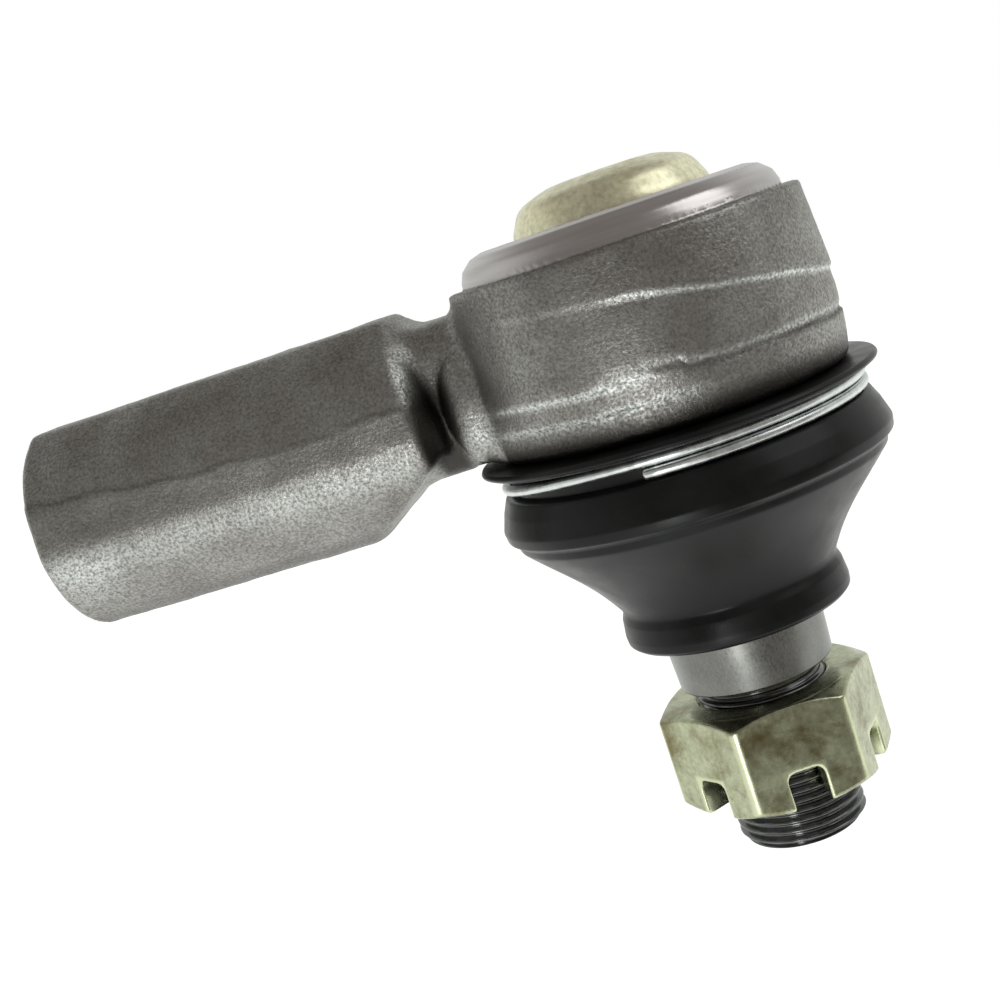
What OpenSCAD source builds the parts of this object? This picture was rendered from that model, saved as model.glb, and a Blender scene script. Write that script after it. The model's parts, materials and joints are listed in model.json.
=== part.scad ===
// Tie rod end with a female-threaded shank, a spring-loaded ball joint and a
// tapered ball stud. The origin is the middle of the shank's mouth: +X runs
// along the shank to the ball, +Z points to the cover and the stud points to -Z.
// Heights (_z) are measured from the ball's centre, which lies on the shank's axis.

/* [Shank] */
// Distance from the shank's mouth to the ball's centre
centre_distance = 98; // [96:1:110]
// Outer diameter of the shank
shank_d = 34; // [33:0.5:37]
// Length of the full-diameter shank, measured along its top
shank_len = 63; // [62:0.5:64]
// Length of the full-diameter shank, measured along its underside
shank_under_len = 48.6; // [48:0.2:50]
// Slope of the cut under the shank's end, in degrees from upright
undercut_angle = 55; // [52:1:58]
// Bevel round the shank's end
shoulder_bevel = 2.6; // [2:0.2:3]
// Diameter of the neck between the shank and the eye
neck_d = 23.4; // [22:0.2:23.4]
// How far the neck's axis lies above the shank's axis
neck_rise = 1.7; // [1.7:0.1:2]
// Diameter of the tapped hole before threading (M24 x 1.5)
tap_drill_d = 22.5; // [22.5]
// Depth of the tapped hole
tap_depth = 46; // [40:1:47]

/* [Eye] */
// Diameter of the eye at its upper rim
eye_rim_d = 54; // [53:0.5:55]
// Diameter of the eye at the die parting plane
eye_mid_d = 56.4; // [56:0.2:58]
// Diameter of the eye at its foot
eye_foot_d = 54.8; // [54:0.2:55.6]
// Height of the upper rim above the ball's centre
eye_top_z = 16; // [15.5:0.5:17]
// Height of the eye's underside
eye_foot_z = -10; // [-10:0.5:-9.5]
// Diameter of the bore that holds the ball seats
seat_bore_d = 40; // [40:0.5:41]
// Diameter of the rolled lip where it leaves the rim
lip_d = 48.8; // [48:0.2:50]
// Thickness of the lip over the cover's flange
lip_t = 2.8; // [2.4:0.1:3]

/* [Ball stud] */
// Diameter of the ball
ball_d = 33; // [32.6:0.1:33]
// Height of the flat on top of the ball
ball_flat_z = 13; // [12.5:0.5:13]
// Diameter of the stud's neck under the ball
stud_neck_d = 17; // [16:0.5:17]
// Diameter of the taper at its large end
taper_d = 26; // [25:0.5:26]
// Height of the taper's large end
taper_top_z = -32; // [-33:0.5:-31]
// Length of the taper
taper_len = 20.5; // [20:0.5:21.5]
// Change of diameter along the taper, per unit of length (1:10)
taper_ratio = 0.1; // [0.1]
// Nominal diameter of the stud's thread (M20 x 1.5)
thread_d = 20; // [20]
// Pitch of the stud's thread
thread_pitch = 1.5; // [1.5]
// Height of the stud's free end
stud_end_z = -79; // [-84:0.5:-77]
// Diameter of the split-pin hole
pin_hole_d = 5; // [4:0.5:5]

/* [Castle nut] */
// Width across the nut's flats
nut_af = 30; // [30]
// Height of the nut
nut_h = 16; // [15:0.5:17]
// Height of the nut's seating face
nut_top_z = -55; // [-56:0.5:-55]
// Width of each slot
slot_w = 5.6; // [5.2:0.1:6]
// Depth of each slot
slot_depth = 6; // [5.5:0.5:6.5]
// Turn of the nut about the stud, from a flat that faces -Y
nut_turn = 14; // [0:1:30]

/* [Cover and spring] */
// Thickness of the cover's sheet
cover_t = 1.8; // [1.6:0.1:2]
// Diameter of the cover's dome at its foot
dome_d = 30; // [29:0.5:31]
// Height of the dome's top
dome_top_z = 26.3; // [26:0.1:27]
// Diameter of the spring's wire
spring_wire_d = 2.5; // [2.2:0.1:2.6]
// Number of turns in the spring
spring_turns = 2.5; // [2:0.25:2.75]

/* [Boot] */
// Diameter of the boot's upper flange
flange_d = 61.6; // [60:0.2:62]
// Diameter of the boot at its crest
crest_d = 60.4; // [59:0.2:61]
// Diameter of the boot's small end
small_end_d = 35; // [34:0.2:36]
// Height of the boot's lower edge
boot_end_z = -43.6; // [-44:0.2:-43.4]
// Diameter of the clamp's wire
clamp_wire_d = 1.6; // [1.4:0.1:1.6]

/* [Hidden] */
$fn = 96;

// Turn of the seams of the shank's round faces, away from the plane of symmetry
seam_turn = 40;

// Clearances
slide_gap = 0.05;
thread_gap = 0.05;
boot_gap = 0.1;

// Seats and the space round the ball
seat_bore_r = seat_bore_d / 2;
seat_floor_z = -8;
seat_split_z = 0.3;
upper_seat_top_z = 14;
upper_seat_hole_r = 10.2;
ball_r = ball_d / 2;

// Eye: cover recess, rolled lip, stud mouth and boot spigot
recess_r = 22.1;
recess_top_z = eye_top_z + cover_t;
lip_top_z = recess_top_z + lip_t;
lip_inner_r = 17;
mouth_r = 15.2;
mouth_slope = 0.5;
spigot_r = 24.5;
spigot_z = -16;
groove_r = 23.3;
groove_top_z = -12;
groove_foot_z = -15;

// Stud
taper_end_z = taper_top_z - taper_len;
taper_end_r = (taper_d - taper_ratio * taper_len) / 2;
relief_r = 9;
thread_start_z = taper_end_z - 1;
// The stud's and the nut's threads meet at their pitch diameter
thread_mid_r = thread_d / 2 - 0.32476 * thread_pitch;
pin_hole_z = nut_top_z - nut_h + slot_depth / 2;

// Cover
dome_r = dome_d / 2;
dome_under_z = dome_top_z - cover_t;

// Clamp wire: it starts in the lower lane, makes a full turn and ends in the upper lane
clamp_r = 27.6;
clamp_low_z = -14.2;
clamp_high_z = -12.5;
clamp_start = -98;
clamp_turns = 1.55;

module at_ball() translate([centre_distance, 0, 0]) children();

// Smooth step from 0 at a to 1 at b
function ease(a, b, t) = let (u = max(0, min(1, (t - a) / (b - a)))) u * u * (3 - 2 * u);

// Round wire through stations [radius, angle, height], swept about the Z axis
module round_wire(stations, wire_r, sides = 10) {
    n = len(stations);
    points = [for (s = stations) for (k = [0 : sides - 1])
        let (phi = 360 * k / sides, r = s[0] + wire_r * cos(phi))
        [r * cos(s[1]), r * sin(s[1]), s[2] + wire_r * sin(phi)]];
    walls = [for (i = [0 : n - 2]) for (k = [0 : sides - 1])
        let (next = (k + 1) % sides)
        [i * sides + k, i * sides + next, (i + 1) * sides + next, (i + 1) * sides + k]];
    start = [for (k = [sides - 1 : -1 : 0]) k];
    end = [for (k = [0 : sides - 1]) (n - 1) * sides + k];
    polyhedron(points, concat([start], walls, [end]), convexity = 6);
}

// The eye as a solid of revolution: spigot, double-drafted drum and rolled lip
module eye_blank() {
    lip_r = lip_d / 2;
    rotate_extrude() polygon([
        [0, spigot_z], [spigot_r - 0.5, spigot_z], [spigot_r, spigot_z + 0.5],
        [spigot_r, groove_foot_z], [groove_r, groove_foot_z], [groove_r, groove_top_z],
        [spigot_r, groove_top_z], [spigot_r, eye_foot_z],
        [eye_foot_d / 2 - 2, eye_foot_z], [eye_foot_d / 2 - 0.6, eye_foot_z + 0.7],
        [eye_foot_d / 2, eye_foot_z + 2], [eye_mid_d / 2, 0.5], [eye_rim_d / 2, eye_top_z],
        [lip_r, eye_top_z], [lip_r - 0.1, eye_top_z + 1.2], [lip_r - 0.9, lip_top_z - 1.7],
        [lip_r - 2.5, lip_top_z - 0.5], [lip_r - 4.5, lip_top_z], [0, lip_top_z]]);
}

// The space inside the eye: stud mouth, seat bore, cover recess and lip opening
module eye_cavity() {
    below_z = spigot_z - 1;
    rotate_extrude() polygon([
        [0, below_z], [mouth_r + mouth_slope * (seat_floor_z - below_z), below_z],
        [mouth_r, seat_floor_z], [seat_bore_r, seat_floor_z], [seat_bore_r, eye_top_z],
        [recess_r, eye_top_z], [recess_r, recess_top_z], [lip_inner_r, recess_top_z],
        [lip_inner_r, lip_top_z + 1], [0, lip_top_z + 1]]);
}

// The shank, bevelled at its end and cut away aslant underneath, and the neck
module shank_blank() {
    shank_r = shank_d / 2;
    shank_end = shank_len + shoulder_bevel;
    neck_start = shank_len - 14;
    difference() {
        rotate([0, 90, 0]) rotate(seam_turn) rotate_extrude() polygon([
            [0, 0], [shank_r - 1, 0], [shank_r, 1], [shank_r, shank_len],
            [shank_r - shoulder_bevel, shank_end], [0, shank_end]]);
        translate([shank_under_len, 0, -shank_r]) rotate([0, undercut_angle, 0])
            translate([0, -shank_d, -shank_d]) cube([shank_d, 2 * shank_d, 2 * shank_d]);
    }
    translate([neck_start, 0, neck_rise]) rotate([0, 90, 0]) rotate(seam_turn)
        cylinder(d = neck_d, h = centre_distance - eye_rim_d / 4 - neck_start);
}

// Tapped hole with a drill point
module tapped_hole() {
    drill_r = tap_drill_d / 2;
    rotate([0, 90, 0]) rotate_extrude() polygon([
        [0, -1], [drill_r, -1], [drill_r, tap_depth], [0, tap_depth + drill_r * tan(31)]]);
}

module housing() {
    color([0.27, 0.26, 0.24]) difference() {
        union() {
            at_ball() eye_blank();
            shank_blank();
        }
        at_ball() eye_cavity();
        tapped_hole();
    }
}

// Domed pressing whose flange is held under the rolled lip
module cover_cap() {
    flange_r = recess_r - slide_gap;
    inner_r = dome_r - cover_t;
    color([0.76, 0.75, 0.55]) at_ball() rotate_extrude() polygon([
        [inner_r, eye_top_z], [flange_r, eye_top_z], [flange_r, recess_top_z],
        [dome_r, recess_top_z], [dome_r, dome_top_z - 5.4], [dome_r - 0.8, dome_top_z - 3.8],
        [dome_r - 2.4, dome_top_z - 2], [dome_r - 5, dome_top_z - 0.7],
        [dome_r - 8, dome_top_z], [0, dome_top_z],
        [0, dome_under_z], [inner_r - 6.4, dome_under_z], [inner_r - 4, dome_under_z - 0.7],
        [inner_r - 1.9, dome_under_z - 2], [inner_r - 0.6, dome_under_z - 3.4],
        [inner_r, dome_under_z - 4.8]]);
}

// Conical coil spring between the upper seat and the dome
module preload_spring() {
    wire_r = spring_wire_d / 2;
    foot_r = 11.7;
    head_r = 5.8;
    foot_z = upper_seat_top_z + wire_r;
    head_z = dome_under_z - wire_r;
    rings = 24 * spring_turns;
    stations = [for (i = [0 : rings]) let (t = i / rings)
        [foot_r + (head_r - foot_r) * t, 360 * spring_turns * t, foot_z + (head_z - foot_z) * t]];
    color([0.45, 0.45, 0.47]) at_ball() round_wire(stations, wire_r);
}

// Ring with a spherical hollow that the ball turns in, from z0 up to z1
module ball_seat(z0, z1) {
    difference() {
        translate([0, 0, z0]) cylinder(r = seat_bore_r - slide_gap, h = z1 - z0);
        sphere(r = ball_r + slide_gap);
        cylinder(r = upper_seat_hole_r, h = z1 + 1);
    }
}

module upper_ball_seat() {
    color([0.5, 0.5, 0.52]) at_ball() ball_seat(seat_split_z, upper_seat_top_z);
}

module lower_ball_seat() {
    color([0.5, 0.5, 0.52]) at_ball() ball_seat(seat_floor_z, -seat_split_z);
}

// Ball, waist, 1:10 taper, relief and threaded end with a split-pin hole
module ball_stud() {
    neck_r = stud_neck_d / 2;
    color([0.55, 0.55, 0.55]) at_ball() difference() {
        union() {
            intersection() {
                sphere(r = ball_r);
                translate([0, 0, -ball_r - 1]) cylinder(r = ball_r + 1, h = ball_r + 1 + ball_flat_z);
            }
            rotate_extrude() polygon([
                [0, -10], [neck_r, -10], [neck_r, -19], [neck_r + 0.7, -22.5],
                [neck_r + 2.4, -27], [taper_d / 2 - 0.4, taper_top_z + 1.5],
                [taper_d / 2, taper_top_z], [taper_end_r, taper_end_z],
                [relief_r, taper_end_z - 0.2], [relief_r, thread_start_z],
                [thread_mid_r, thread_start_z - 0.5], [thread_mid_r, stud_end_z + 1],
                [thread_mid_r - 1, stud_end_z], [0, stud_end_z]]);
        }
        translate([0, 0, pin_hole_z]) rotate([90, 0, nut_turn + 60])
            cylinder(d = pin_hole_d, h = thread_d + 2, center = true);
    }
}

module castle_nut() {
    foot_z = nut_top_z - nut_h;
    face_r = nut_af / 2 - 0.6;
    corner_r = nut_af / 2 / cos(30) + 0.1;
    color([0.62, 0.66, 0.48]) at_ball() difference() {
        intersection() {
            translate([0, 0, foot_z]) rotate(nut_turn)
                cylinder(r = nut_af / 2 / cos(30), h = nut_h, $fn = 6);
            rotate_extrude() polygon([
                [0, foot_z], [face_r, foot_z], [corner_r, foot_z + (corner_r - face_r) * tan(30)],
                [corner_r, nut_top_z - (corner_r - face_r) * tan(30)], [face_r, nut_top_z],
                [0, nut_top_z]]);
        }
        translate([0, 0, foot_z - 1]) cylinder(r = thread_mid_r + thread_gap, h = nut_h + 2);
        // Six slots: three cuts right across, from the middle of a flat to the opposite one
        for (k = [0 : 2]) rotate(nut_turn + 60 * k) {
            translate([-slot_w / 2, -nut_af, foot_z - 1])
                cube([slot_w, 2 * nut_af, slot_depth - slot_w / 2 + 1]);
            translate([0, 0, foot_z + slot_depth - slot_w / 2]) rotate([90, 0, 0])
                cylinder(d = slot_w, h = 2 * nut_af, center = true);
        }
    }
}

// Rubber boot: bead in the housing's groove, one fold, cone and small end on the taper
module dust_boot() {
    crest_r = crest_d / 2;
    small_r = small_end_d / 2;
    bead_r = groove_r + boot_gap;
    collar_r = spigot_r + boot_gap;
    color([0.09, 0.09, 0.09]) at_ball() difference() {
        rotate_extrude() polygon([
            [collar_r, eye_foot_z - 0.1], [flange_d / 2 - 0.4, eye_foot_z - 0.1],
            [flange_d / 2, eye_foot_z - 1], [flange_d / 2 - 1, -11.5], [27, -11.6],
            [26.7, -12.2], [26.7, -15], [27.6, -15.4], [28.8, -16.4], [crest_r - 0.5, -18.2],
            [crest_r, -20.2], [crest_r - 0.5, -21.8], [crest_r - 2, -24], [crest_r - 4.4, -26.4],
            [crest_r - 7.6, -29.3], [small_r + 2.6, -32.6], [small_r + 0.3, -35.6],
            [small_r - 0.7, -37.8], [small_r - 0.3, -39.6], [small_r, -42.4],
            [small_r - 0.8, boot_end_z], [12.8, boot_end_z], [12.95, -38.6],
            [small_r - 2.4, -37.6], [small_r - 1.8, -34.8], [small_r + 0.8, -31.2],
            [crest_r - 9.4, -27.6], [crest_r - 4.2, -23], [crest_r - 2.2, -20.2],
            [26.6, -17.4], [collar_r, -16.3], [collar_r, groove_foot_z + boot_gap],
            [bead_r, groove_foot_z + boot_gap], [bead_r, groove_top_z - boot_gap],
            [collar_r, groove_top_z - boot_gap]]);
        // Pocket moulded round the steel ring
        rotate_extrude() ring_section(boot_gap);
    }
}

// Steel ring inside the boot's small end
module ring_section(gap) translate([14.4 - gap, -42.6 - gap])
    square([1.2 + 2 * gap, 3 + 2 * gap]);

module boot_lip_ring() {
    color([0.5, 0.5, 0.5]) at_ball() rotate_extrude() ring_section(0);
}

module boot_clamp_wire() {
    rings = 60 * clamp_turns;
    stations = [for (i = [0 : rings]) let (turn = clamp_turns * i / rings)
        [clamp_r, clamp_start + 360 * turn,
         clamp_low_z + (clamp_high_z - clamp_low_z) * ease(0.75, 1, turn)]];
    color([0.75, 0.76, 0.76]) at_ball() round_wire(stations, clamp_wire_d / 2, 8);
}

housing();
cover_cap();
preload_spring();
upper_ball_seat();
lower_ball_seat();
ball_stud();
castle_nut();
dust_boot();
boot_clamp_wire();
boot_lip_ring();
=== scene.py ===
import itertools
import json
import math

import bmesh
import bpy
import numpy as np
from mathutils import Matrix, Vector, noise


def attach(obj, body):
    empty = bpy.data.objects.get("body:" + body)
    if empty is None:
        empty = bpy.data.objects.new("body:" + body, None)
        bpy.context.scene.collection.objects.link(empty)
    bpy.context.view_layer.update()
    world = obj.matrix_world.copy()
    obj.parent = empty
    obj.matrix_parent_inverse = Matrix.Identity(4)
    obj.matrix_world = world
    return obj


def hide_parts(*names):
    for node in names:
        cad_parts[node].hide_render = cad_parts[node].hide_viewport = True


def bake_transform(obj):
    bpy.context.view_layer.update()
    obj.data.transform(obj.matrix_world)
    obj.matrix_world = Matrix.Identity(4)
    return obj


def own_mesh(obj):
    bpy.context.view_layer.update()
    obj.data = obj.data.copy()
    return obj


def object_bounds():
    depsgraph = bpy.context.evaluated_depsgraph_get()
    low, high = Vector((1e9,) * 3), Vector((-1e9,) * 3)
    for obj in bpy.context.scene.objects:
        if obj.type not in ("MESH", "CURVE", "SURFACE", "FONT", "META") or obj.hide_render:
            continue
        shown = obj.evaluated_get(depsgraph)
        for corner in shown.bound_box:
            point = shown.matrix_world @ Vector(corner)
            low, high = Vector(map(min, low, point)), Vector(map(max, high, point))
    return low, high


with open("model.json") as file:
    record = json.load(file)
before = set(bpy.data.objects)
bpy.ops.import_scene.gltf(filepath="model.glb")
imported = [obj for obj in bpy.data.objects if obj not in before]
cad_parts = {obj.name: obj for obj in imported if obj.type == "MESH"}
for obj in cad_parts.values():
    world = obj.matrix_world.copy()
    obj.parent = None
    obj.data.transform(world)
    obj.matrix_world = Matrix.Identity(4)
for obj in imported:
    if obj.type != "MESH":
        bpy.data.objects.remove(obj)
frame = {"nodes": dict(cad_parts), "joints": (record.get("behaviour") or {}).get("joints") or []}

# Shapes are worked out in millimetres from the ball's centre, with the shank towards -X, the
# cover towards +Z and the stud towards -Z, and are then placed in the frame in metres.
cad_low, cad_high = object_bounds()
MM = 0.001
swing = next(j for j in frame["joints"] if j["name"] == "stud_swing")
BALL = Vector(swing["pos_m"])
MOUTH_X = -BALL.x / MM

# The shank, from its mouth to its end beside the neck, with the tapped bore inside it.
SHANK_R = 17.0
SHANK_END_X = -34.8
UNDERCUT_X = -49.4
UNDERCUT_SLOPE = 1.428
BORE_R = 12.9
BORE_DEPTH = 46.0

# The neck, whose middle lies a little above the shank's.
NECK_R = 11.7
NECK_RISE = 1.7

# The eye, which is widest at its parting height.
EYE_R = 28.1
EYE_TOP = 16.0
EYE_FOOT = -10.0
PARTING_Z = 0.5

# The boot's two parts meet at the seam. With it at -26 or -28.5, the stud cut through the boot
# at its limits.
BOOT_SEAM_Z = -24.5

# The stud and its nut. Both threads of the part have the same pitch.
BALL_R = 16.5
THREAD_PITCH = 1.5
THREAD_TOP = -53.5
STUD_END = -79.0
NUT_TOP = -55.0
NUT_FOOT = -71.0
NUT_FLAT = 15.0
NUT_TURN = math.radians(14)

# Grid steps of the two pieces that are meshed from a signed distance.
FORGING_STEP = 0.55
NUT_STEP = 0.3

# The floor lies this many metres below the part.
FLOOR_DROP = 0.06


# ---------------------------------------------------------------- mesh building

def smooth_step(a, b, t):
    """0 at a, 1 at b, with an easy start and finish. a may be above b."""
    u = np.clip((t - a) / (b - a), 0, 1)
    return u * u * (3 - 2 * u)


def new_piece(name, points, faces, body, slot, replaces=()):
    """A mesh object from points in millimetres from the ball, riding on a body (None for later)."""
    mesh = bpy.data.meshes.new(name)
    placed = np.asarray(points, float) * MM + np.array(BALL)
    mesh.from_pydata(placed.tolist(), [], faces)
    mesh.validate()
    mesh.update()
    mesh.polygons.foreach_set("use_smooth", [True] * len(mesh.polygons))
    piece = bpy.data.objects.new(name, mesh)
    bpy.context.scene.collection.objects.link(piece)
    if body:
        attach(piece, body)
    if replaces:
        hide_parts(*replaces)
    return piece


def set_attribute(piece, name, values):
    """Stores one number for each point of a piece, for its material to read."""
    layer = piece.data.attributes.new(name, "FLOAT", "POINT")
    layer.data.foreach_set("value", values.astype(np.float32))


def rounded(corners, step_deg=12):
    """Closed outline through corners (r, z, fillet radius), with each fillet as an arc."""
    outline = []
    count = len(corners)
    for i, (r, z, radius) in enumerate(corners):
        here = Vector((r, z))
        to_last = Vector(corners[i - 1][:2]) - here
        to_next = Vector(corners[(i + 1) % count][:2]) - here
        reach = min(to_last.length, to_next.length) * 0.49
        to_last.normalize()
        to_next.normalize()
        half = to_last.angle(to_next) / 2
        if radius <= 0 or half > math.radians(89.5):
            outline.append((r, z))
            continue
        tangent = min(radius / math.tan(half), reach)
        radius = tangent * math.tan(half)
        centre = here + (to_last + to_next).normalized() * radius / math.sin(half)
        start = here + to_last * tangent - centre
        end = here + to_next * tangent - centre
        sweep = start.angle(end)
        steps = max(2, round(math.degrees(sweep) / step_deg))
        for k in range(steps + 1):
            a = sweep * k / steps
            spoke = (start * math.sin(sweep - a) + end * math.sin(a)) / math.sin(sweep)
            outline.append(tuple(centre + spoke))
    return outline


def divided(outline, longest):
    """The closed outline with its long stretches split into equal parts."""
    out = []
    for i, (r, z) in enumerate(outline):
        r1, z1 = outline[(i + 1) % len(outline)]
        parts = max(1, math.ceil(math.hypot(r1 - r, z1 - z) / longest))
        out += [(r + (r1 - r) * k / parts, z + (z1 - z) * k / parts) for k in range(parts)]
    return out


def lathe(outline, segments=144, shape=None):
    """Points and faces of a closed outline (r, z) turned about Z. shape(r, z, angle) may bend it."""
    turn = np.arange(segments) * 2 * math.pi / segments
    rows = []
    points = []
    for r, z in outline:
        if r < 1e-6:
            rows.append([len(points)] * segments)
            points.append((0, 0, z))
            continue
        rows.append(list(range(len(points), len(points) + segments)))
        rr, zz = np.full(segments, r), np.full(segments, z)
        if shape:
            rr, zz = shape(rr, zz, turn)
        points += list(zip(rr * np.cos(turn), rr * np.sin(turn), zz))
    faces = []
    for i, row in enumerate(rows):
        after = rows[(i + 1) % len(rows)]
        if row[0] == row[1] and after[0] == after[1]:
            continue
        for k in range(segments):
            n = (k + 1) % segments
            ring = [row[k], after[k], after[n], row[n]]
            faces.append([v for j, v in enumerate(ring) if v != ring[j - 1]])
    return points, faces


def swept_wire(path, wire_r, sides=16, end_round=0.35):
    """Points and faces of a round wire along path, with slightly rounded cut ends."""
    path = np.asarray(path, float)
    along = np.gradient(path, axis=0)
    along /= np.linalg.norm(along, axis=1)[:, None]
    side = np.cross(along, (0, 0, 1))
    side /= np.linalg.norm(side, axis=1)[:, None]
    over = np.cross(side, along)
    stations = [(path[0], side[0], over[0], wire_r - end_round)]
    stations += [(path[0] + along[0] * end_round, side[0], over[0], wire_r)]
    stations += [(path[i], side[i], over[i], wire_r) for i in range(2, len(path) - 2)]
    stations += [(path[-1] - along[-1] * end_round, side[-1], over[-1], wire_r)]
    stations += [(path[-1], side[-1], over[-1], wire_r - end_round)]
    points = []
    for centre, s, o, radius in stations:
        for k in range(sides):
            a = 2 * math.pi * k / sides
            points.append(centre + radius * (math.cos(a) * s + math.sin(a) * o))
    faces = [[i * sides + k, i * sides + (k + 1) % sides, (i + 1) * sides + (k + 1) % sides,
              (i + 1) * sides + k] for i in range(len(stations) - 1) for k in range(sides)]
    last = (len(stations) - 1) * sides
    faces.append(list(range(sides))[::-1])
    faces.append([last + k for k in range(sides)])
    return points, faces


def surface_of(field, low, high, step):
    """Mesh of the surface where field(x, y, z) is zero, by surface nets on a grid."""
    axes = [np.arange(a - step, b + 2 * step, step) for a, b in zip(low, high)]
    values = field(*np.meshgrid(*axes, indexing="ij"))
    inside = values < 0
    size = np.array(values.shape)
    count = np.zeros(size - 1, np.int8)
    for i, j, k in itertools.product((0, 1), repeat=3):
        count += inside[i:size[0] - 1 + i, j:size[1] - 1 + j, k:size[2] - 1 + k]
    active = (count > 0) & (count < 8)
    index = np.full(active.shape, -1)
    index[active] = np.arange(active.sum())
    cells = np.argwhere(active)
    total = np.zeros((len(cells), 3))
    hits = np.zeros(len(cells))
    for axis in range(3):
        unit = np.eye(3, dtype=int)[axis]
        others = [np.eye(3, dtype=int)[a] for a in range(3) if a != axis]
        for p, q in itertools.product((0, 1), repeat=2):
            a = cells + p * others[0] + q * others[1]
            va, vb = values[tuple(a.T)], values[tuple((a + unit).T)]
            cut = (va < 0) != (vb < 0)
            share = va[cut] / (va[cut] - vb[cut])
            total[cut] += a[cut] + share[:, None] * unit
            hits[cut] += 1
    points = np.array([a[0] for a in axes]) + step * total / hits[:, None]
    faces = []
    for axis in range(3):
        first = np.take(inside, range(size[axis] - 1), axis)
        second = np.take(inside, range(1, size[axis]), axis)
        edges = np.argwhere(first != second)
        p, q = [(1, 2), (2, 0), (0, 1)][axis]
        keep = (edges[:, p] > 0) & (edges[:, q] > 0)
        keep &= (edges[:, p] < size[p] - 1) & (edges[:, q] < size[q] - 1)
        edges = edges[keep]
        up, vp = np.eye(3, dtype=int)[p], np.eye(3, dtype=int)[q]
        ring = [index[tuple((edges - d).T)] for d in (up + vp, vp, 0 * up, up)]
        quads = np.stack(ring, axis=1)
        flip = second[tuple(edges.T)]
        quads[flip] = quads[flip][:, ::-1]
        faces.append(quads)
    return settle(field, points, step), np.concatenate(faces).tolist()


def settle(field, points, step):
    """Moves points onto the surface where field is zero, by at most a step."""
    reach = 0.05
    start = points.copy()
    for _ in range(3):
        value = field(*points.T)
        slope = gradient(field, points, reach)
        length2 = np.maximum((slope ** 2).sum(axis=1), 0.05)
        points = points - slope * (value / length2)[:, None]
        points = start + np.clip(points - start, -0.7 * step, 0.7 * step)
    return points


def gradient(field, points, reach):
    """Slope of field at each point, from its values within reach on both sides."""
    columns = []
    for axis in range(3):
        d = np.zeros(3)
        d[axis] = reach
        columns.append((field(*(points + d).T) - field(*(points - d).T)) / (2 * reach))
    return np.stack(columns, axis=1)


def smooth_min(a, b, reach):
    """The lower of a and b, rounded over where they come within reach of each other."""
    h = np.clip(0.5 + 0.5 * (b - a) / reach, 0, 1)
    return b + (a - b) * h - reach * h * (1 - h)


def smooth_max(a, b, reach):
    """The higher of a and b, rounded over in the same way."""
    return -smooth_min(-a, -b, reach)


def outline_distance(u, v, outline):
    """Signed distance from (u, v) to a closed outline, negative inside."""
    nearest = np.full(u.shape, 1e9)
    inside = np.zeros(u.shape, bool)
    for i, (u1, v1) in enumerate(outline):
        u0, v0 = outline[i - 1]
        du, dv = u1 - u0, v1 - v0
        t = np.clip(((u - u0) * du + (v - v0) * dv) / (du * du + dv * dv), 0, 1)
        nearest = np.minimum(nearest, (u - u0 - t * du) ** 2 + (v - v0 - t * dv) ** 2)
        if dv:
            inside ^= ((v0 > v) != (v1 > v)) & (u < u0 + (v - v0) * du / dv)
    return np.where(inside, -1, 1) * np.sqrt(nearest)


def thread_height(phase):
    """Height of a 60 degree thread, from 0 at the root to 1 at the crest, with flats on both."""
    saw = np.abs((phase % 1) - 0.5) * 2
    return np.clip((saw - 0.22) / 0.62, 0, 1)


# ---------------------------------------------------------------- materials

def new_material(name, metallic, roughness):
    """A node material. It gives the material, its tree and its shader."""
    made = bpy.data.materials.new(name)
    made.use_nodes = True
    shader = made.node_tree.nodes["Principled BSDF"]
    shader.inputs["Metallic"].default_value = metallic
    shader.inputs["Roughness"].default_value = roughness
    return made, made.node_tree, shader


def add(tree, kind, links=(), **settings):
    """A new node, with its settings, and links given as {input name: output socket or value}."""
    node = tree.nodes.new(kind)
    for key, value in settings.items():
        setattr(node, key, value)
    for key, value in dict(links).items():
        if hasattr(value, "is_output"):
            tree.links.new(value, node.inputs[key])
        else:
            node.inputs[key].default_value = value
    return node


def coords(tree):
    """Place on the object in metres, which moves with it."""
    return add(tree, "ShaderNodeTexCoord").outputs["Object"]


def grain(tree, place, size_mm, detail=3.0, rough=0.55, stretch=None, distortion=0.0):
    """Noise whose main features are about size_mm across. It gives a factor socket."""
    if stretch:
        place = add(tree, "ShaderNodeMapping", {"Vector": place, "Scale": stretch}).outputs[0]
    links = {"Vector": place, "Scale": 0.5 / (size_mm * MM), "Detail": detail,
             "Roughness": rough, "Distortion": distortion}
    return add(tree, "ShaderNodeTexNoise", links).outputs[0]


def ramp(tree, factor, stops):
    """Colour ramp. Each stop is (place, grey or colour)."""
    node = add(tree, "ShaderNodeValToRGB", {"Fac": factor})
    elements = node.color_ramp.elements
    while len(elements) < len(stops):
        elements.new(0.5)
    for element, (place, colour) in zip(elements, stops):
        element.position = place
        rgb = colour if hasattr(colour, "__len__") else (colour,) * 3
        element.color = (*rgb, 1)
    return node.outputs["Color"]


def mixed(tree, factor, a, b, blend="MIX"):
    """Colour a turned into b by factor. Each may be a socket or a value."""
    node = add(tree, "ShaderNodeMix", data_type="RGBA", blend_type=blend)
    for key, value in ((0, factor), (6, a), (7, b)):
        if hasattr(value, "is_output"):
            tree.links.new(value, node.inputs[key])
        elif hasattr(value, "__len__"):
            node.inputs[key].default_value = (*value, 1)
        else:
            node.inputs[key].default_value = value
    return node.outputs[2]


def bumped(tree, height, depth_mm, strength, normal=None):
    """Normal with a bump of the given depth, on top of an earlier bump if there is one."""
    links = {"Height": height, "Distance": depth_mm * MM, "Strength": strength}
    if normal:
        links["Normal"] = normal
    return add(tree, "ShaderNodeBump", links).outputs[0]


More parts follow.
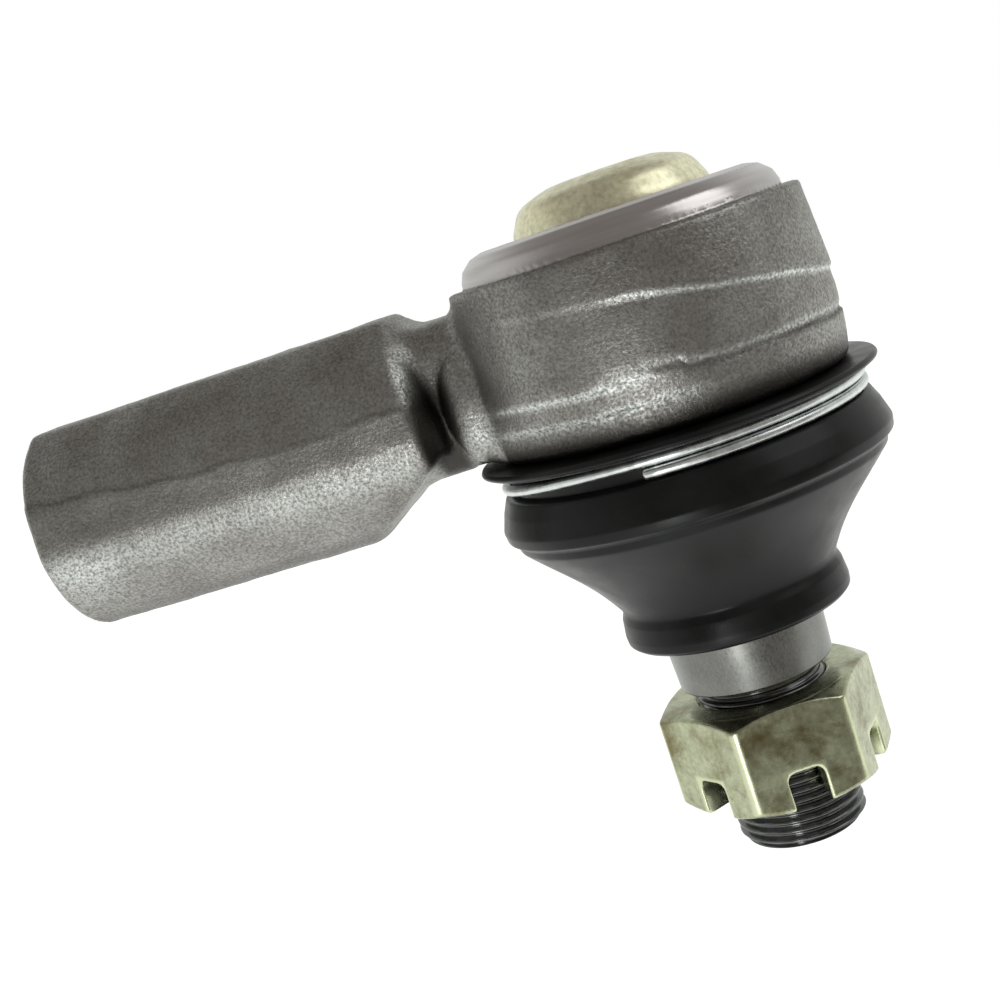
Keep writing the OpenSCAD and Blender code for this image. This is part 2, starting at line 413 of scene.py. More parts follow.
def attribute(tree, name):
    """A point attribute of the piece, from 0 to 1."""
    return add(tree, "ShaderNodeAttribute", attribute_name=name).outputs["Fac"]


def forging_material():
    """Shot-blasted forging, with painted shade in its corners and painted highlights on its edges,
    and machined or rolled faces where masked.
    """
    made, tree, shader = new_material("shot_blasted_forging", 1.0, 0.45)
    place = coords(tree)
    blotch = grain(tree, place, 5, 4)
    shot = grain(tree, place, 0.22, 2, 0.65)
    pits = grain(tree, place, 0.5, 2, 0.5)
    base = ramp(tree, blotch, [(0.35, (0.25, 0.238, 0.222)), (0.5, (0.3, 0.29, 0.275)),
                               (0.66, (0.345, 0.34, 0.32))])
    dark = ramp(tree, shot, [(0.3, 0.6), (0.5, 0.95), (0.68, 1.3)])
    body = mixed(tree, 1.0, base, dark, "MULTIPLY")
    turned = grain(tree, place, 0.5, 3, 0.5, stretch=(0.06, 0.06, 1))
    smooth = ramp(tree, turned, [(0.3, (0.46, 0.43, 0.43)), (0.7, (0.56, 0.53, 0.53))])
    # Painted highlight: a bright tone laid where the piece marks its lit edges and bands.
    highlight_tone = ramp(tree, shot, [(0.35, (0.3, 0.3, 0.29)), (0.6, (0.8, 0.83, 0.81))])
    scuffs_and_highlights = mixed(tree, attribute(tree, "painted_highlight"), body, highlight_tone)
    # Painted shade: near-black laid over the boot, round the neck, in creases and underneath.
    shaded = mixed(tree, attribute(tree, "painted_shade"), scuffs_and_highlights, (0.06, 0.055, 0.05))
    mask = attribute(tree, "burnish")
    tree.links.new(mixed(tree, mask, shaded, smooth), shader.inputs["Base Color"])
    rough = ramp(tree, shot, [(0.3, 0.55), (0.7, 0.36)])
    tree.links.new(mixed(tree, mask, rough, (0.27, 0.27, 0.27)), shader.inputs["Roughness"])
    coarse = bumped(tree, pits, 0.08, 0.6)
    pitted = bumped(tree, shot, 0.09, 0.9, coarse)
    brushed = bumped(tree, turned, 0.01, 0.3)
    normal = add(tree, "ShaderNodeMix", {4: pitted, 5: brushed}, data_type="VECTOR")
    tree.links.new(mask, normal.inputs[0])
    tree.links.new(normal.outputs[1], shader.inputs["Normal"])
    return made


def zinc_material(name, tint, mottle, roughness, bump_mm=0.02):
    """Passivated zinc plating: two tints in soft patches, with fine grain and small scratches."""
    made, tree, shader = new_material(name, 1.0, roughness)
    place = coords(tree)
    patches = grain(tree, place, 3.5, 6, 0.68, distortion=0.3)
    specks = grain(tree, place, 0.4, 3)
    base = ramp(tree, patches, [(0.34, mottle), (0.52, tint), (0.7, [1.15 * c for c in tint])])
    scuffs_and_highlights = ramp(tree, specks, [(0.3, 0.8), (0.6, 1.05)])
    plated = mixed(tree, 1.0, base, scuffs_and_highlights, "MULTIPLY")
    # Painted highlight: a brighter tint where the piece marks its lit edges.
    highlight_tone = mixed(tree, attribute(tree, "painted_highlight"), plated, [min(1, 1.5 * c) for c in tint])
    tree.links.new(highlight_tone, shader.inputs["Base Color"])
    rough = ramp(tree, grain(tree, place, 1.5, 4), [(0.3, roughness * 0.75), (0.7, roughness * 1.4)])
    tree.links.new(rough, shader.inputs["Roughness"])
    wavy = bumped(tree, grain(tree, place, 2.5, 3), bump_mm * 4, 0.5)
    tree.links.new(bumped(tree, specks, bump_mm, 0.6, wavy), shader.inputs["Normal"])
    return made


def rubber_material():
    """Black moulded rubber with faint dust and fine pores."""
    made, tree, shader = new_material("boot_rubber_black", 0.0, 0.42)
    place = coords(tree)
    dust = grain(tree, place, 3, 5, 0.6)
    pores = grain(tree, place, 0.25, 3)
    base = ramp(tree, dust, [(0.35, (0.005, 0.0053, 0.0055)), (0.7, (0.011, 0.0115, 0.012))])
    tree.links.new(base, shader.inputs["Base Color"])
    tree.links.new(ramp(tree, dust, [(0.3, 0.26), (0.7, 0.42)]), shader.inputs["Roughness"])
    shader.inputs["Specular IOR Level"].default_value = 0.2
    soft = bumped(tree, grain(tree, place, 4, 2), 0.12, 0.35)
    tree.links.new(bumped(tree, pores, 0.015, 0.5, soft), shader.inputs["Normal"])
    return made


def steel_material(name, tone, roughness, stretch=None, size_mm=0.5, bump_mm=0.02, dark=0.75):
    """Bare steel, turned, ground or drawn: fine marks stretched along the tool's path."""
    made, tree, shader = new_material(name, 1.0, roughness)
    place = coords(tree)
    marks = grain(tree, place, size_mm, 4, 0.6, stretch=stretch)
    film = grain(tree, place, 4, 4)
    base = ramp(tree, film, [(0.35, [dark * c for c in tone]), (0.65, tone)])
    shade = ramp(tree, marks, [(0.3, 0.78), (0.7, 1.12)])
    tree.links.new(mixed(tree, 1.0, base, shade, "MULTIPLY"), shader.inputs["Base Color"])
    rough = ramp(tree, marks, [(0.3, roughness * 0.8), (0.7, roughness * 1.3)])
    tree.links.new(rough, shader.inputs["Roughness"])
    tree.links.new(bumped(tree, marks, bump_mm, 0.6), shader.inputs["Normal"])
    return made


def dress(piece, *materials):
    """Gives a piece its materials, in the order of its slots."""
    piece.data.materials.clear()
    for m in materials:
        piece.data.materials.append(m)


# ---------------------------------------------------------------- the forging

def flash_lines(x):
    """Heights round the eye of the upper ledge, the lower ridge and the foot's ridge."""
    wander = 0.3 * np.sin(0.31 * x + 1) + 0.15 * np.sin(0.9 * x)
    upper = 9.3 - 0.135 * x - 0.003 * x * x + wander * 0.4
    lower = np.where(x < 6, -1.3 - 0.05 * np.maximum(x, 0), -2.4 - 0.04 * (x - 6)) + wander * 0.4
    return upper, lower, -4.9 + wander * 0.3


def drum_radius(x, y, z):
    """Radius of the eye: drafted both ways from the parting, with its trimmed flash band."""
    up = EYE_R - 1.25 * np.clip((z - PARTING_Z) / (EYE_TOP - PARTING_Z), 0, 1) ** 1.15
    down = EYE_R - 0.9 * np.clip((PARTING_Z - z) / (PARTING_Z - EYE_FOOT), 0, 1) ** 1.5
    base = np.where(z > PARTING_Z, up, down)
    upper, lower, foot = flash_lines(x)
    right = smooth_step(-4, 6, x)
    trim = (0.15 + 0.3 * right) * (smooth_step(upper - 0.7, upper + 0.1, z) - 1)
    trim -= 0.42 * (1 - right) * (1 - smooth_step(lower - 0.9, lower, z))
    trim += 0.45 * right * (1 - smooth_step(lower - 0.3, lower + 0.2, z))
    trim -= 0.3 * right * (1 - smooth_step(lower + 0.3, lower + 1.3, z))
    trim -= 0.35 * (1 - smooth_step(foot - 0.8, foot, z)) * smooth_step(12, 2, x)
    return base + trim * beside_eye(x, y)


def beside_eye(x, y):
    """1 where the flash lines run round the eye, 0 at the neck."""
    sides = np.clip(smooth_step(8, 16, np.abs(y)) + smooth_step(0, 10, x), 0, 1)
    return sides * smooth_step(-27, -18, x)


def shank_line(x):
    """Height of the flash line along each side of the shank."""
    wander = 0.35 * np.sin(0.19 * x + 2) + 0.2 * np.sin(0.57 * x)
    return 3.2 + 2.6 * smooth_step(-70, -88, x) + wander


def shank_distance(x, y, z):
    """The shank: round, bevelled and undercut at its end, with a flat trimmed land each side."""
    radius = np.hypot(y, z)
    line = shank_line(x)
    beside = smooth_step(4, 9, np.abs(y))
    side = radius - SHANK_R + 0.25 * smooth_step(line - 0.1, line + 0.2, z) * beside
    land = np.abs(y) * 0.997 + z * 0.08 - (SHANK_R - 0.3 + 0.06 * np.sin(0.45 * x))
    side = smooth_max(side, land, 0.15)
    end = SHANK_END_X - 0.17 * np.maximum(z, 0)
    bevel = (radius - SHANK_R + (x - end) * 1.08) * 0.68
    under = (x - UNDERCUT_X - (z + SHANK_R) * UNDERCUT_SLOPE) * 0.574
    ended = smooth_max(side, bevel, 0.7)
    ended = smooth_max(ended, x - end - 2.5, 1.2)
    ended = smooth_max(ended, under, 1.2)
    return smooth_max(ended, MOUTH_X - x, 1.0)


def neck_distance(x, y, z):
    """The neck: deep and flat-sided, with a trimmed pad where it meets the eye."""
    rise = z - NECK_RISE
    blade = ((np.abs(y) / 10.2) ** 4 + (np.abs(rise) / NECK_R) ** 4) ** 0.25 * NECK_R - NECK_R
    blade = np.maximum(np.maximum(blade, x + 12), -48 - x)
    pad = np.sqrt(((x + 26.9) / 4.7) ** 2 + ((np.abs(y) - 8.8) / 4.6) ** 2 + (z / 9.0) ** 2)
    return smooth_min(blade, (pad - 1) * 4.6, 0.5)


LIP = [(0, 14), (24.35, 14), (24.35, 16.9), (23.7, 18.6), (22.1, 20.0), (20.2, 20.55),
       (18.2, 20.45), (17, 19.6), (17, 17.8), (0, 17.8)]
SPIGOT = [(0, -9), (24.5, -9), (24.5, -12), (23.3, -12), (23.3, -15), (24.5, -15),
          (24.5, -16), (0, -16)]
CAVITY = [(0, -17), (19.7, -17), (15.2, -8), (20, -8), (20, 16), (22.1, 16), (22.1, 17.8),
          (17, 17.8), (17, 22), (0, 22)]


def housing_field(x, y, z):
    """The forging: arm and eye run together, with the rolled lip, spigot, cavity and bore."""
    radius = np.hypot(x, y)
    drum = radius - drum_radius(x, y, z)
    arm = smooth_min(shank_distance(x, y, z), neck_distance(x, y, z), 2.0)
    outer = smooth_min(arm, drum, 2.2)
    outer = smooth_max(outer, z - EYE_TOP, 0.5)
    below = np.where(x > -31, EYE_FOOT - z, -18 - z)
    outer = smooth_max(outer, below, 1.2)
    lip = outline_distance(radius, z, LIP) - 0.02
    spigot = outline_distance(radius, z, SPIGOT)
    outer = smooth_min(np.minimum(outer, spigot), lip, 0.25)
    cavity = outline_distance(radius, z, CAVITY)
    bore_r = np.hypot(y, z)
    drill_point = (bore_r - BORE_R) * 0.515 + (x - MOUTH_X - BORE_DEPTH) * 0.857
    bore = np.maximum(bore_r - BORE_R, drill_point)
    return np.maximum(np.maximum(outer, -cavity), -bore)


def forging_relief(points, normals, keep):
    """Uneven skin of the forging: shallow swells and shot marks, pushed along the normals."""
    out = points.copy()
    for i in np.flatnonzero(keep > 0.01):
        p = Vector(points[i])
        swell = noise.noise(p * 0.11) * 0.16 + noise.noise(p * 0.3) * 0.07
        shot = noise.noise(p * 0.95) * 0.04 + abs(noise.noise(p * 1.9)) * 0.03
        out[i] += normals[i] * (swell + shot - 0.04) * keep[i]
    return out


def band(t, middle, half):
    """1 at the middle of a band, falling to 0 past its half width."""
    return np.exp(-((t - middle) / half) ** 2)


def painted_edge_highlights(x, y, z):
    """Painted highlights on the forging: bright bands on the ledges, shoulder bevel, land, pads and
    mouth.
    """
    upper, lower, foot = flash_lines(x)
    beside = smooth_step(8, 14, np.abs(y))
    eye = beside_eye(x, y)
    right = smooth_step(-4, 6, x)
    ledges = band(z, upper - 0.3, 0.4) * (0.15 + 0.85 * right)
    ledges += band(z, lower - 0.45, 0.5) * (1 - right) * 0.9
    ledges += band(z, lower + 0.9, 0.5) * right * 0.45
    ledges += band(z, foot - 0.4, 0.45) * smooth_step(12, 2, x) * 0.8
    bevel = band(x, SHANK_END_X + 0.4, 1.3) * beside * smooth_step(2.2, 3.5, z)
    bevel *= smooth_step(14.5, 12.5, z)
    land = band(z, -5.2, 2.6) * beside * smooth_step(-35, -38, x) * 0.35
    mouth = band(x, MOUTH_X + 6, 6) * band(z, -7, 5) * beside * 0.5
    pad = band(x, -27, 3.2) * band(z, -4.5, 3.4) * beside * 0.55
    return np.clip(ledges * eye + bevel + land + mouth + pad, 0, 1)


def painted_corner_shade(x, y, z):
    """Painted shade on the forging: darkening over the boot, round the neck, in creases and
    underneath.
    """
    lower = flash_lines(x)[1]
    beside = smooth_step(8, 14, np.abs(y))
    over_boot = smooth_step(-5.5, -8.5, z) * (x > -24)
    waist = smooth_step(-36, -34, x) * smooth_step(-29, -31, x) * smooth_step(9, 2, z)
    belly = smooth_step(-13, -16, z) * (x < -34) * 0.6
    crease = band(z, lower, 0.35) * smooth_step(3, 9, x) * 0.8
    crease += band(z, shank_line(x), 0.3) * beside * (x < SHANK_END_X) * 0.35
    return np.clip(over_boot + waist + belly + crease, 0, 1)


def housing_piece(material):
    """The forging's mesh, with its machined faces, painted edge highlights and painted shade as
    point attributes.
    """
    low = (MOUTH_X - 0.5, -29, -18.5)
    high = (29, 29, 21.5)
    points, faces = surface_of(housing_field, low, high, FORGING_STEP)
    normals = gradient(housing_field, points, 0.1)
    normals /= np.maximum(np.linalg.norm(normals, axis=1), 1e-6)[:, None]
    x, y, z = points.T
    radius = np.hypot(x, y)
    lip = smooth_step(16.1, 16.5, z) * (radius < 25)
    inside = (radius < 22.3) & (x > -23)
    spigot = (z < -10.1) & (x > -25.5)
    hole = (np.hypot(y, z) < 13.3) & (x < -50)
    face = 0.4 * smooth_step(MOUTH_X + 0.7, MOUTH_X + 0.15, x)
    smooth = np.clip(lip + inside + spigot + hole + face, 0, 1)
    points = forging_relief(points, normals, 1 - smooth)
    points[:, 0] = np.maximum(points[:, 0], MOUTH_X + 0.002)
    piece = new_piece("housing_forging", points, faces, "housing", "forging", ["housing"])
    # Painted highlights on edges and painted shade in corners, kept as point attributes for the
    # material.
    scuffs_and_highlights, shaded = painted_edge_highlights(x, y, z), painted_corner_shade(x, y, z)
    for name, values in (("burnish", smooth), ("painted_highlight", scuffs_and_highlights * (1 - smooth)),
                         ("painted_shade", shaded * (1 - smooth))):
        set_attribute(piece, name, values)
    dress(piece, material)


def shank_thread_piece(material):
    """Sleeve with the shank's internal thread, let into the forging. It is turned about X."""
    crest, root, outside = 11.25, 12.05, 13.1
    corners = [(outside, 0.03, 0), (outside, BORE_DEPTH, 0), (crest, BORE_DEPTH, 0),
               (crest, 1.3, 0), (12.6, 0.03, 0.15)]
    outline = divided(rounded(corners), THREAD_PITCH / 10)

    def cut(r, z, turn):
        inner = (r < 12.2) & (z > 0.8) & (z < BORE_DEPTH - 0.1)
        height = thread_height(z / THREAD_PITCH - turn / (2 * math.pi) + 0.5)
        return r + inner * (root - crest) * height * smooth_step(0.7, 1.6, z), z

    points, faces = lathe(outline, 96, cut)
    points = [(MOUTH_X + z, y, x) for x, y, z in points]
    piece = new_piece("shank_thread", points, [f[::-1] for f in faces], "housing", "forging")
    dress(piece, material)


# ---------------------------------------------------------------- turned and pressed parts

def cover_piece(material):
    """Domed pressing of 1.8 mm sheet, held under the rolled lip."""
    corners = [(0, 26.3, 0), (8.2, 26.3, 9), (13.2, 24.6, 4), (15, 21, 3), (15, 17.8, 0.8),
               (22, 17.8, 0.3), (22, 16, 0.6), (13.2, 16, 1.2), (13.2, 21, 3), (11.6, 23.4, 3),
               (7.6, 24.5, 8), (0, 24.5, 0)]
    piece = new_piece("cover_dome", *lathe(rounded(corners, 8)), "housing", "cap_zinc",
                      ["cover_cap"])
    dress(piece, material)


def boot_outline():
    """Outer and inner wall of the boot in one closed outline, from the flange round to the bead."""
    outer = [(24.6, -10.15, 0.1), (30.3, -10.15, 0.35), (30.8, -10.9, 0.4), (29.7, -11.5, 0.3),
             (27.1, -11.7, 0.3), (26.75, -12.2, 0.3), (26.75, -14.9, 0.3), (28.3, -15.5, 0.5),
             (29.3, -17.6, 1.2), (30.2, -20.3, 0.8), (30.0, -21.7, 0.5), (28.9, -22.5, 0.25),
             (28.6, -23.6, 0.8), (25.8, -26.6, 4), (22.6, -29.6, 6), (19.4, -33.2, 6),
             (17.3, -36.4, 2), (16.8, -38.0, 1.0), (17.3, -39.3, 0.8), (17.6, -41.8, 1.0),
             (17.5, -43.0, 0.5), (16.8, -43.6, 0.4)]
    inner = [(13.0, -43.6, 0.4), (12.7, -42.6, 0.3), (12.95, -38.6, 0.3), (15.1, -37.6, 0.8),
             (15.7, -34.8, 2), (18.6, -31.0, 4), (21.8, -27.4, 4), (26.4, -23.0, 3),
             (28.0, -20.2, 2), (26.6, -17.4, 1.5), (24.6, -16.2, 0.4), (24.6, -14.9, 0.1),
             (23.4, -14.9, 0.2), (23.4, -12.1, 0.2), (24.6, -12.1, 0.1)]
    return relaxed(divided(rounded(outer + inner, 15), 0.6), -24.0, -37.0, 40)


def relaxed(outline, top, foot, passes):
    """The outline with its run between two heights evened out, for a moulded curve."""
    run = np.array(outline)
    free = (run[:, 1] < top) & (run[:, 1] > foot)
    for _ in range(passes):
        middle = (np.roll(run, 1, axis=0) + np.roll(run, -1, axis=0)) / 2
        run[free] = middle[free]
    return [tuple(p) for p in run]


def boot_shape(r, z, turn):
    """Slight waves of the flange and the cone, as moulded rubber has."""
    flange = smooth_step(28.0, 30.5, r) * smooth_step(-13, -11.5, z)
    z = z + flange * (0.05 * np.sin(3 * turn + 1) - 0.08)
    cone = smooth_step(-21, -27, z) * smooth_step(-40, -34, z)
    r = r + cone * (0.10 * np.sin(2 * turn + 0.6) + 0.05 * np.sin(5 * turn))
    return r, z


def boot_pieces(material):
    """The boot in two parts that meet inside its cone, because it bends about two joints."""
    outline = boot_outline()
    seam = [cut_at(outline, i) for i in range(len(outline)) if crosses(outline, i)]
    made = []
    for name, half in (("boot_upper", upper_half), ("boot_lower", lower_half)):
        points, faces = lathe(half(outline, seam), 160, boot_shape)
        piece = new_piece(name, points, faces, None, "boot_rubber")
        piece.data.set_sharp_from_angle(angle=math.radians(30))
        dress(piece, material)
        made.append(piece)
    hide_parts("dust_boot")
    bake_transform(made[0])
    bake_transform(made[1])


def crosses(outline, i):
    """Whether the outline passes the seam's height just before its point i."""
    a, b = outline[i - 1][1], outline[i][1]
    return (a > BOOT_SEAM_Z) != (b > BOOT_SEAM_Z)


def cut_at(outline, i):
    """Where it passes that height."""
    (r0, z0), (r1, z1) = outline[i - 1], outline[i]
    share = (BOOT_SEAM_Z - z0) / (z1 - z0)
    return (r0 + (r1 - r0) * share, BOOT_SEAM_Z)


def upper_half(outline, seam):
    """The outline above the seam, closed by the seam's cuts through the outer and inner wall."""
    above = [p for p in outline if p[1] > BOOT_SEAM_Z]
    first_below = next(i for i in range(len(outline)) if outline[i][1] <= BOOT_SEAM_Z)
    return above[:first_below] + seam + above[first_below:]


def lower_half(outline, seam):
    """The outline below the seam, closed in the same way."""
    outer_cut, inner_cut = seam
    below = [p for p in outline if p[1] <= BOOT_SEAM_Z]
    return [outer_cut] + below + [inner_cut]


def clamp_wire_piece(material):
    """One wire round the boot: it starts in the lower lane and ends in the upper one."""
    start, turns, radius = math.radians(-98), 1.55, 27.6
    steps = 260
    path = []
    for i in range(steps + 1):
        turn = turns * i / steps
        z = -14.2 + 1.7 * float(smooth_step(0.75, 1, turn))
        a = start + 2 * math.pi * turn
        path.append((radius * math.cos(a), radius * math.sin(a), z))
    piece = new_piece("clamp_wire", *swept_wire(path, 0.8), "housing", "wire_zinc",
                      ["boot_clamp_wire"])
    dress(piece, material)


def spring_piece(material):
    """Conical coil between the upper seat and the dome."""
    turns, steps = 2.5, 200
    path = []
    for i in range(steps + 1):
        t = i / steps
        a = 2 * math.pi * turns * t
        radius = 11.7 - 5.9 * t
        path.append((radius * math.cos(a), radius * math.sin(a), 15.25 + 8.0 * t))
    piece = new_piece("cover_spring", *swept_wire(path, 1.25, 16, 0.2), "housing", "spring_steel",
                      ["preload_spring"])
    dress(piece, material)
    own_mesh(piece)


# ---------------------------------------------------------------- stud and nut

def stud_piece(taper_steel, thread_steel):
    """Ball, waist, ground taper, relief and the rolled M20 x 1.5 thread."""
    ball = [(BALL_R * math.cos(math.radians(a)), BALL_R * math.sin(math.radians(a)))
            for a in range(52, -58, -3)]
    corners = [(0, 13, 0), (10.1, 13, 0.2)]
    corners += [(r, z, 0) for r, z in ball if z < 12.9]
    corners += [(8.5, -14.6, 1), (8.5, -19, 2), (9.2, -22.5, 2), (10.9, -27, 2),
                (12.6, -30.5, 0.8), (13, -32, 0.8), (11.975, -52.5, 0.35), (9, -52.7, 0.2),
                (9, -53.9, 0.2), (10, -54.6, 0.1), (10, STUD_END + 1.1, 0.15),
                (9, STUD_END, 0.3), (0, STUD_END, 0)]
    outline = rounded(corners, 12)
    foot = STUD_END + 0.05
    above = [p for p in outline if p[1] >= THREAD_TOP]
    fine = divided(outline, THREAD_PITCH / 10)
    fine = [p for p in fine if THREAD_TOP > p[1] > foot and p[0] > 5]
    below = [p for p in outline if p[1] <= foot]

    def rolled(r, z, turn):
        depth = 0.92 * (r > 8.9) * smooth_step(-53.7, -55.4, z)
        height = thread_height(z / THREAD_PITCH + turn / (2 * math.pi))
        return r - depth * (1 - height), z

    points, faces = lathe(above + fine + below, 128, rolled)
    piece = new_piece("tapered_stud", points, faces, "stud", "stud_steel", ["ball_stud"])
    drill_pin_hole(piece)
    dress(piece, taper_steel, thread_steel)
    for face in piece.data.polygons:
        face.material_index = int(face.center.z < BALL.z - 52.8 * MM)


def drill_pin_hole(piece):
    """Cross hole for a split pin, in line with two of the nut's slots."""
    hole_r, hole_z, half_length = 2.5, NUT_FOOT + 3.0, 12.0
    drill = bmesh.new()
    aim = Matrix.Rotation(NUT_TURN + math.radians(60), 4, "Z")
    turn = aim @ Matrix.Rotation(math.pi / 2, 4, "X")
    place = Matrix.Translation(BALL + Vector((0, 0, hole_z * MM))) @ turn
    bmesh.ops.create_cone(drill, cap_ends=True, segments=32, radius1=hole_r * MM,
                          radius2=hole_r * MM, depth=2 * half_length * MM, matrix=place)
    mesh = bpy.data.meshes.new("pin_drill")
    drill.to_mesh(mesh)
    drill.free()
    tool = bpy.data.objects.new("pin_drill", mesh)
    bpy.context.scene.collection.objects.link(tool)
    cut = piece.modifiers.new("pin_hole", "BOOLEAN")
    cut.operation, cut.solver, cut.object = "DIFFERENCE", "EXACT", tool
    drilled = piece.evaluated_get(bpy.context.evaluated_depsgraph_get())
    made = bpy.data.meshes.new_from_object(drilled)
    piece.modifiers.clear()
    piece.data = made
    bpy.data.objects.remove(tool)
    bpy.data.meshes.remove(mesh)


def nut_sector(x, y):
    """Angle from the middle of the nearest of the nut's six flats."""
    angle = np.arctan2(y, x) - NUT_TURN
    return (angle + math.pi / 2 + math.pi / 6) % (math.pi / 3) - math.pi / 6


def nut_field(x, y, z):
    """Slotted hexagon nut with chamfered corners, a threaded bore and six open slots."""
    radius = np.hypot(x, y)
    sector = nut_sector(x, y)
    across = radius * np.sin(sector)
    next_flat = radius * np.cos(np.abs(sector) - math.pi / 3) - NUT_FLAT
    flat = smooth_max(radius * np.cos(sector) - NUT_FLAT, next_flat, 0.9)
    middle = (NUT_TOP + NUT_FOOT) / 2
    ends = np.abs(z - middle) - (NUT_TOP - NUT_FOOT) / 2
    slope = math.radians(30)
    cone = (radius - 14.7) * math.sin(slope) + ends * math.cos(slope)
    blank = smooth_max(smooth_max(flat, ends, 0.35), cone, 0.25)
    slot = smooth_max(np.abs(across) - 2.8, z - NUT_FOOT - 5.9, 1.6)
    turn = np.arctan2(y, x) / (2 * math.pi)
    height = thread_height(z / THREAD_PITCH + turn)
    countersink = (radius - 10.6 - ends) * 0.707
    bore = radius - (9.25 + 0.85 * height)
    hollow = np.minimum(bore, countersink)
    body = smooth_max(blank, -slot, 0.3)
    return np.maximum(body, -hollow)


def nut_piece(material):
    """The nut's mesh, with painted highlights on its edges as a point attribute."""
    low = (-17.6, -17.6, NUT_FOOT)
    high = (17.6, 17.6, NUT_TOP)
    points, faces = surface_of(nut_field, low, high, NUT_STEP)
    piece = new_piece("slotted_nut", points, faces, "stud", "nut_zinc", ["castle_nut"])
    # Painted highlights on the nut's corners, slot edges and foot.
    set_attribute(piece, "painted_highlight", nut_painted_highlights(*np.asarray(points).T))
    dress(piece, material)


def nut_painted_highlights(x, y, z):
    """Painted highlights along the nut's corners, slot edges and foot."""
    radius = np.hypot(x, y)
    sector = nut_sector(x, y)
    across = np.abs(radius * np.sin(sector))
    outside = smooth_step(13.6, 14.4, radius)
    corner = smooth_step(16.85, 17.1, radius)
    beside_slot = smooth_step(3.5, 3.0, across) * smooth_step(NUT_FOOT + 6.8, NUT_FOOT + 6.2, z)
    foot = smooth_step(NUT_FOOT + 0.7, NUT_FOOT + 0.3, z)
    return np.clip(corner + beside_slot + foot, 0, 1) * outside


# ---------------------------------------------------------------- studio

def photo_camera():
    """Near the height of the part, turned about the view so that the shank rises to the eye."""
    azimuth, elevation, roll = (math.radians(a) for a in (5.8, 4.94, -18.2))
    pan, tilt = math.radians(5.82), math.radians(-6.05)
    distance, lens = 0.225, 53.77
    back = Vector((math.sin(azimuth) * math.cos(elevation),
                   -math.cos(azimuth) * math.cos(elevation), math.sin(elevation)))
    level = Vector((math.cos(azimuth), math.sin(azimuth), 0))
    upright = back.cross(level)
    right = math.cos(roll) * level + math.sin(roll) * upright
    up = math.cos(roll) * upright - math.sin(roll) * level
    place = BALL + back * distance
    back, right = (math.cos(pan) * back + math.sin(pan) * right,
                   math.cos(pan) * right - math.sin(pan) * back)
    back, up = (math.cos(tilt) * back - math.sin(tilt) * up,
                math.cos(tilt) * up + math.sin(tilt) * back)
    data = bpy.data.cameras.new("camera")
    data.sensor_width, data.lens = 36, lens
    data.clip_start, data.clip_end = 0.005, 20
    camera = bpy.data.objects.new("camera", data)
    bpy.context.scene.collection.objects.link(camera)
    camera.matrix_world = Matrix.Translation(place) @ Matrix((right, up, back)).transposed().to_4x4()
    bpy.context.scene.camera = camera


def softbox(name, place, size, power, colour):
    """Rectangular light at a place in metres from the ball, turned towards the ball."""
    data = bpy.data.lights.new(name, "AREA")
    data.shape, data.size, data.size_y = "RECTANGLE", size[0], size[1]
    data.energy, data.color = power, colour
    lamp = bpy.data.objects.new(name, data)
    bpy.context.scene.collection.objects.link(lamp)
    lamp.location = BALL + Vector(place)
    lamp.rotation_mode = "QUATERNION"
    lamp.rotation_quaternion = (BALL - lamp.location).to_track_quat("-Z", "Y")


def studio_world():
    """Pale walls at the sides and behind, darker towards the viewer and overhead.

    That is the light on the part. The camera itself sees plain white behind it.
    """
    world = bpy.data.worlds.new("studio")
    bpy.context.scene.world = world
    world.use_nodes = True
    tree = world.node_tree
    facing = add(tree, "ShaderNodeTexCoord").outputs["Generated"]
    parts = add(tree, "ShaderNodeSeparateXYZ", {"Vector": facing})
    back_left = add(tree, "ShaderNodeVectorMath", {0: facing, 1: (-0.35, 1, 0)},
                    operation="DOT_PRODUCT").outputs["Value"]
    away = add(tree, "ShaderNodeMapRange", {"Value": back_left, "From Min": -0.5,
                                            "From Max": 0.4}, interpolation_type="SMOOTHSTEP")
    level = add(tree, "ShaderNodeMapRange", {"Value": parts.outputs["Z"], "From Min": 0.9,
                                             "From Max": 0.45}, interpolation_type="SMOOTHSTEP")
    wall = add(tree, "ShaderNodeMath", {0: away.outputs[0], 1: level.outputs[0]},
               operation="MULTIPLY").outputs[0]
    room = ramp(tree, wall, [(0.0, (0.30, 0.285, 0.265)), (1.0, (0.8, 0.82, 0.79))])
    lit = tree.nodes["Background"]
    tree.links.new(room, lit.inputs["Color"])
    seen = add(tree, "ShaderNodeBackground", {"Color": (1, 1, 1, 1), "Strength": 1.0})
    path = add(tree, "ShaderNodeLightPath")
    both = add(tree, "ShaderNodeMixShader")
    tree.links.new(path.outputs["Is Camera Ray"], both.inputs[0])
    tree.links.new(lit.outputs[0], both.inputs[1])
    tree.links.new(seen.outputs[0], both.inputs[2])
    tree.links.new(both.outputs[0], tree.nodes["World Output"].inputs[0])


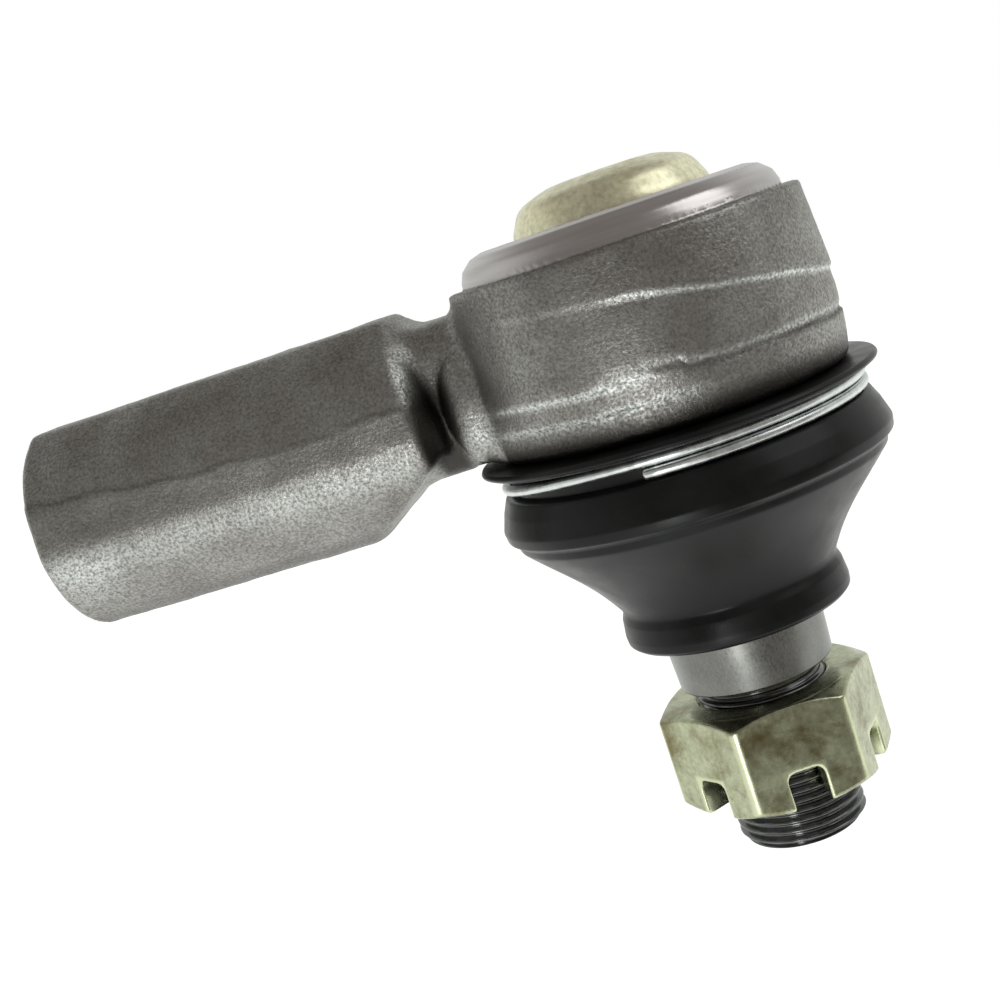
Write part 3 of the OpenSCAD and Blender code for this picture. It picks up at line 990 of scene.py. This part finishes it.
def studio_floor():
    """White floor that glows softly. Its front edge runs aslant, so the right front stays dark."""
    height = cad_low.z - FLOOR_DROP
    outline = [(-2, -0.7), (0.03, -0.42), (0.15, -0.10), (0.6, 0.05), (2, 0.1), (2, 3), (-2, 3)]
    mesh = bpy.data.meshes.new("floor")
    mesh.from_pydata([(x, y, height) for x, y in outline], [], [range(len(outline))])
    floor = bpy.data.objects.new("floor", mesh)
    bpy.context.scene.collection.objects.link(floor)
    made, tree, shader = new_material("pale_floor", 0.0, 0.8)
    tone = ramp(tree, grain(tree, coords(tree), 30, 3),
                [(0.3, (0.5, 0.51, 0.5)), (0.7, (0.53, 0.54, 0.53))])
    tree.links.new(tone, shader.inputs["Base Color"])
    shader.inputs["Emission Color"].default_value = (0.98, 1, 0.98, 1)
    shader.inputs["Emission Strength"].default_value = 0.85
    dress(floor, made)


def studio():
    """Room, floor and two soft lights, shown with the Standard view transform."""
    bpy.context.scene.view_settings.view_transform = "Standard"
    studio_world()
    studio_floor()
    cool = (0.97, 1, 0.99)
    softbox("right_high", (0.40, -0.12, 0.30), (0.34, 0.34), 0.62, cool)
    softbox("front_low_card", (-0.05, -0.24, -0.12), (0.05, 0.12), 0.18, cool)


# ---------------------------------------------------------------- build

photo_camera()
studio()
forged = forging_material()
cap_zinc = zinc_material("cover_zinc", (0.86, 0.83, 0.61), (0.8, 0.76, 0.53), 0.36, 0.008)
nut_zinc = zinc_material("nut_zinc_olive", (0.42, 0.44, 0.3), (0.19, 0.165, 0.08), 0.24)
rubber = rubber_material()
ground = steel_material("ground_taper", (0.25, 0.25, 0.235), 0.3, stretch=(1, 1, 0.5),
                        size_mm=0.14, bump_mm=0.006)
oily = steel_material("oily_thread", (0.17, 0.17, 0.175), 0.14, stretch=(1, 1, 3), size_mm=0.6)
bright_wire = steel_material("zinc_wire", (0.74, 0.77, 0.77), 0.3, size_mm=0.8, bump_mm=0.002,
                             dark=0.9)
spring_wire = steel_material("spring_wire", (0.3, 0.3, 0.31), 0.35)
seat_steel = steel_material("seat_steel", (0.45, 0.45, 0.46), 0.4, stretch=(1, 1, 8))
tapped = steel_material("tapped_steel", (0.4, 0.39, 0.37), 0.3, stretch=(8, 1, 1))

housing_piece(forged)
shank_thread_piece(tapped)
cover_piece(cap_zinc)
boot_pieces(rubber)
clamp_wire_piece(bright_wire)
spring_piece(spring_wire)
stud_piece(ground, oily)
nut_piece(nut_zinc)
for node in ("upper_ball_seat", "lower_ball_seat", "boot_lip_ring"):
    dress(frame["nodes"][node], seat_steel)
